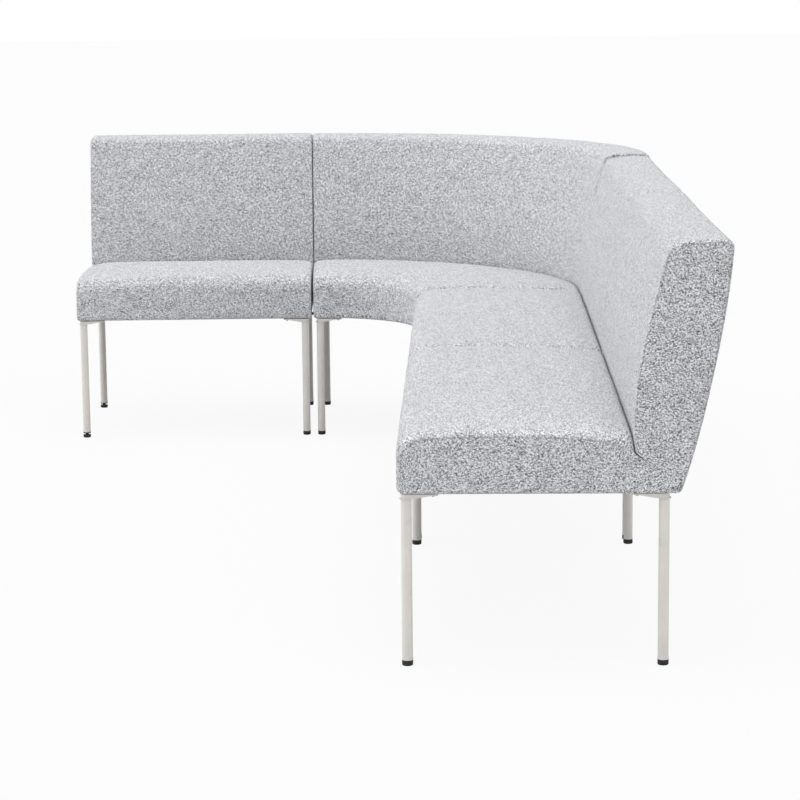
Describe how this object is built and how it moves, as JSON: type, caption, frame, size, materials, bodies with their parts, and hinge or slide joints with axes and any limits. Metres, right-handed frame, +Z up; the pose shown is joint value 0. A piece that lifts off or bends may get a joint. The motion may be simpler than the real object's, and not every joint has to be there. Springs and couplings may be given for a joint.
{
  "type": "upholstered banquette bench",
  "caption": "Modular upholstered L-shaped banquette with leaning backs, a concave rounded corner and slim round legs on screw glides.",
  "frame": {"origin": "middle of the overall length and width, on the floor", "axes": "+Z up; +Y along the long run of three benches, away from its open end; +X from the open inside of the L towards the backs of the long run"},
  "size_m": [1.5679, 2.9637, 0.796],
  "materials": {
    "cover_fabric": "woven tweed, matt",
    "foam": "open cell foam, matt",
    "plywood": "bare plywood",
    "dust_cloth": "black non-woven cloth",
    "leg_enamel": "warm off-white powder coat",
    "glide_plastic": "black nylon",
    "screw_steel": "zinc plated",
    "plate_black": "black lacquer"
  },
  "bodies": {
    "benches": {"single_seat_cover": "cover_fabric", "corner_seat_cover": "cover_fabric", "far_seat_cover": "cover_fabric", "near_seat_cover": "cover_fabric", "single_back_cover": "cover_fabric", "corner_back_cover": "cover_fabric", "far_back_cover": "cover_fabric", "near_back_cover": "cover_fabric", "single_seat_foam": "foam", "corner_seat_foam": "foam", "far_seat_foam": "foam", "near_seat_foam": "foam", "single_back_foam": "foam", "corner_back_foam": "foam", "far_back_foam": "foam", "near_back_foam": "foam", "single_seat_board": "plywood", "corner_seat_board": "plywood", "far_seat_board": "plywood", "near_seat_board": "plywood", "single_back_frame": "plywood", "corner_back_frame": "plywood", "far_back_frame": "plywood", "near_back_frame": "plywood", "single_dust_cover": "dust_cloth", "corner_dust_cover": "dust_cloth", "far_dust_cover": "dust_cloth", "near_dust_cover": "dust_cloth", "single_legs": "leg_enamel", "corner_legs": "leg_enamel", "far_legs": "leg_enamel", "near_legs": "leg_enamel", "single_leg_inserts": "glide_plastic", "corner_leg_inserts": "glide_plastic", "far_leg_inserts": "glide_plastic", "near_leg_inserts": "glide_plastic", "single_leg_screws": "screw_steel", "corner_leg_screws": "screw_steel", "far_leg_screws": "screw_steel", "near_leg_screws": "screw_steel", "link_plates": "plate_black", "link_screws": "screw_steel"},
    "single_foot_front_left": {"single_glide_front_left": "glide_plastic"},
    "single_foot_front_right": {"single_glide_front_right": "glide_plastic"},
    "single_foot_rear_left": {"single_glide_rear_left": "glide_plastic"},
    "single_foot_rear_right": {"single_glide_rear_right": "glide_plastic"},
    "corner_foot_front_left": {"corner_glide_front_left": "glide_plastic"},
    "corner_foot_front_right": {"corner_glide_front_right": "glide_plastic"},
    "corner_foot_rear_left": {"corner_glide_rear_left": "glide_plastic"},
    "corner_foot_rear_right": {"corner_glide_rear_right": "glide_plastic"},
    "corner_foot_rear_middle": {"corner_glide_rear_middle": "glide_plastic"},
    "far_foot_front_left": {"far_glide_front_left": "glide_plastic"},
    "far_foot_front_right": {"far_glide_front_right": "glide_plastic"},
    "far_foot_rear_left": {"far_glide_rear_left": "glide_plastic"},
    "far_foot_rear_right": {"far_glide_rear_right": "glide_plastic"},
    "near_foot_front_left": {"near_glide_front_left": "glide_plastic"},
    "near_foot_front_right": {"near_glide_front_right": "glide_plastic"},
    "near_foot_rear_left": {"near_glide_rear_left": "glide_plastic"},
    "near_foot_rear_right": {"near_glide_rear_right": "glide_plastic"}
  },
  "joints": [
    {"name": "single_front_left_level", "type": "slide", "parent": "benches", "child": "single_foot_front_left", "axis": [0, 0, -1], "range_m": [-0.0045, 0.0075]},
    {"name": "single_front_right_level", "type": "slide", "parent": "benches", "child": "single_foot_front_right", "axis": [0, 0, -1], "range_m": [0, 0.012]},
    {"name": "single_rear_left_level", "type": "slide", "parent": "benches", "child": "single_foot_rear_left", "axis": [0, 0, -1], "range_m": [-0.0045, 0.0075]},
    {"name": "single_rear_right_level", "type": "slide", "parent": "benches", "child": "single_foot_rear_right", "axis": [0, 0, -1], "range_m": [0, 0.012]},
    {"name": "corner_front_left_level", "type": "slide", "parent": "benches", "child": "corner_foot_front_left", "axis": [0, 0, -1], "range_m": [0, 0.012]},
    {"name": "corner_front_right_level", "type": "slide", "parent": "benches", "child": "corner_foot_front_right", "axis": [0, 0, -1], "range_m": [0, 0.012]},
    {"name": "corner_rear_left_level", "type": "slide", "parent": "benches", "child": "corner_foot_rear_left", "axis": [0, 0, -1], "range_m": [0, 0.012]},
    {"name": "corner_rear_right_level", "type": "slide", "parent": "benches", "child": "corner_foot_rear_right", "axis": [0, 0, -1], "range_m": [0, 0.012]},
    {"name": "corner_rear_middle_level", "type": "slide", "parent": "benches", "child": "corner_foot_rear_middle", "axis": [0, 0, -1], "range_m": [0, 0.012]},
    {"name": "far_front_left_level", "type": "slide", "parent": "benches", "child": "far_foot_front_left", "axis": [0, 0, -1], "range_m": [0, 0.012]},
    {"name": "far_front_right_level", "type": "slide", "parent": "benches", "child": "far_foot_front_right", "axis": [0, 0, -1], "range_m": [0, 0.012]},
    {"name": "far_rear_left_level", "type": "slide", "parent": "benches", "child": "far_foot_rear_left", "axis": [0, 0, -1], "range_m": [0, 0.012]},
    {"name": "far_rear_right_level", "type": "slide", "parent": "benches", "child": "far_foot_rear_right", "axis": [0, 0, -1], "range_m": [0, 0.012]},
    {"name": "near_front_left_level", "type": "slide", "parent": "benches", "child": "near_foot_front_left", "axis": [0, 0, -1], "range_m": [0, 0.012]},
    {"name": "near_front_right_level", "type": "slide", "parent": "benches", "child": "near_foot_front_right", "axis": [0, 0, -1], "range_m": [0, 0.012]},
    {"name": "near_rear_left_level", "type": "slide", "parent": "benches", "child": "near_foot_rear_left", "axis": [0, 0, -1], "range_m": [0, 0.012]},
    {"name": "near_rear_right_level", "type": "slide", "parent": "benches", "child": "near_foot_rear_right", "axis": [0, 0, -1], "range_m": [0, 0.012]}
  ]
}
